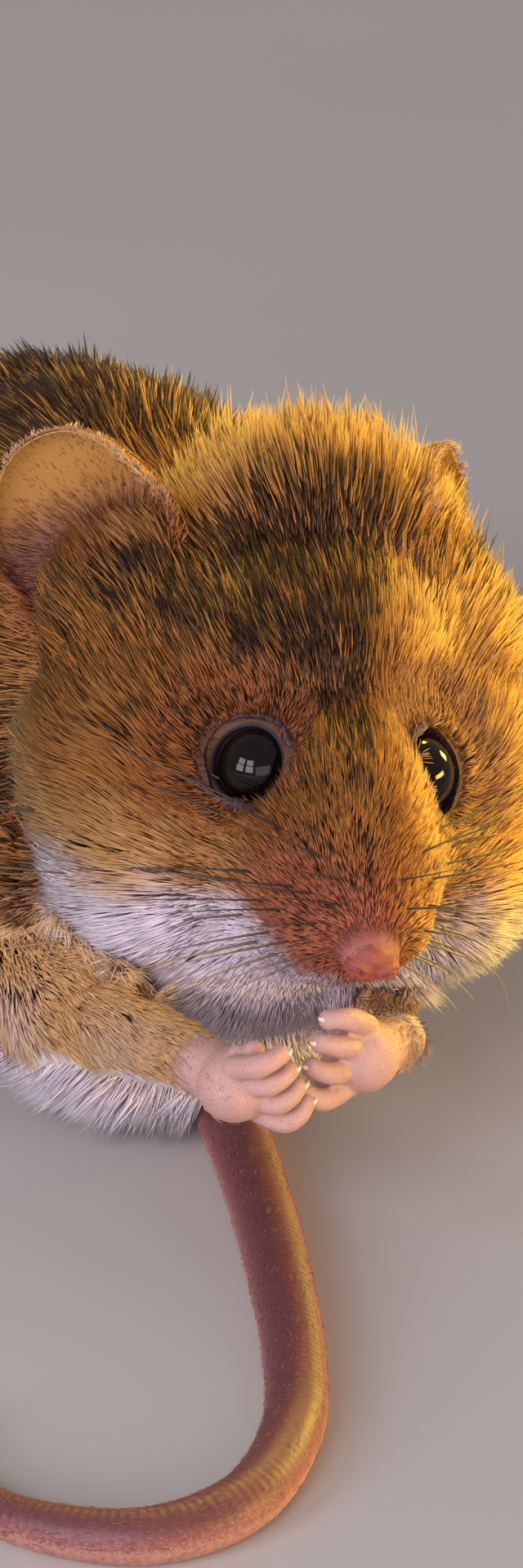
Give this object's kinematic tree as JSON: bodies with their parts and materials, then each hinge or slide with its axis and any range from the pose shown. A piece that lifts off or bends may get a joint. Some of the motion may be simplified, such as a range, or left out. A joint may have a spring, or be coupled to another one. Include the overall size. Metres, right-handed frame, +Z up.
{
  "type": "harvest mouse",
  "caption": "Life-size still model of a harvest mouse sitting hunched, both hands raised to its mouth, tail curled forward on the floor.",
  "frame": {"origin": "on the floor, below the middle of the box around the whole mouse with its tail", "axes": "+Z up, the mouse faces -Y, its left side is towards +X"},
  "size_m": [0.0338, 0.0584, 0.0261],
  "materials": {
    "agouti_fur": "short soft fur, orange-brown with dark tips above and white below",
    "ear_skin": "thin, finely haired, slightly translucent skin",
    "black_eye": "wet, black and glossy",
    "pink_skin": "bare pink skin with fine pale hairs",
    "tail_skin": "ringed, finely scaled skin, mauve-brown above and paler below"
  },
  "bodies": {
    "root": {"head": "agouti_fur", "neck": "agouti_fur", "torso": "agouti_fur", "ear_left": "ear_skin", "ear_right": "ear_skin", "eye_left": "black_eye", "eye_right": "black_eye", "foreleg_left": "agouti_fur", "foreleg_right": "agouti_fur", "hand_left": "pink_skin", "hand_right": "pink_skin", "hindleg_left": "agouti_fur", "hindleg_right": "agouti_fur", "hindfoot_left": "pink_skin", "hindfoot_right": "pink_skin", "tail_1": "tail_skin", "tail_2": "tail_skin", "tail_3": "tail_skin", "tail_4": "tail_skin", "tail_5": "tail_skin"}
  },
  "joints": []
}
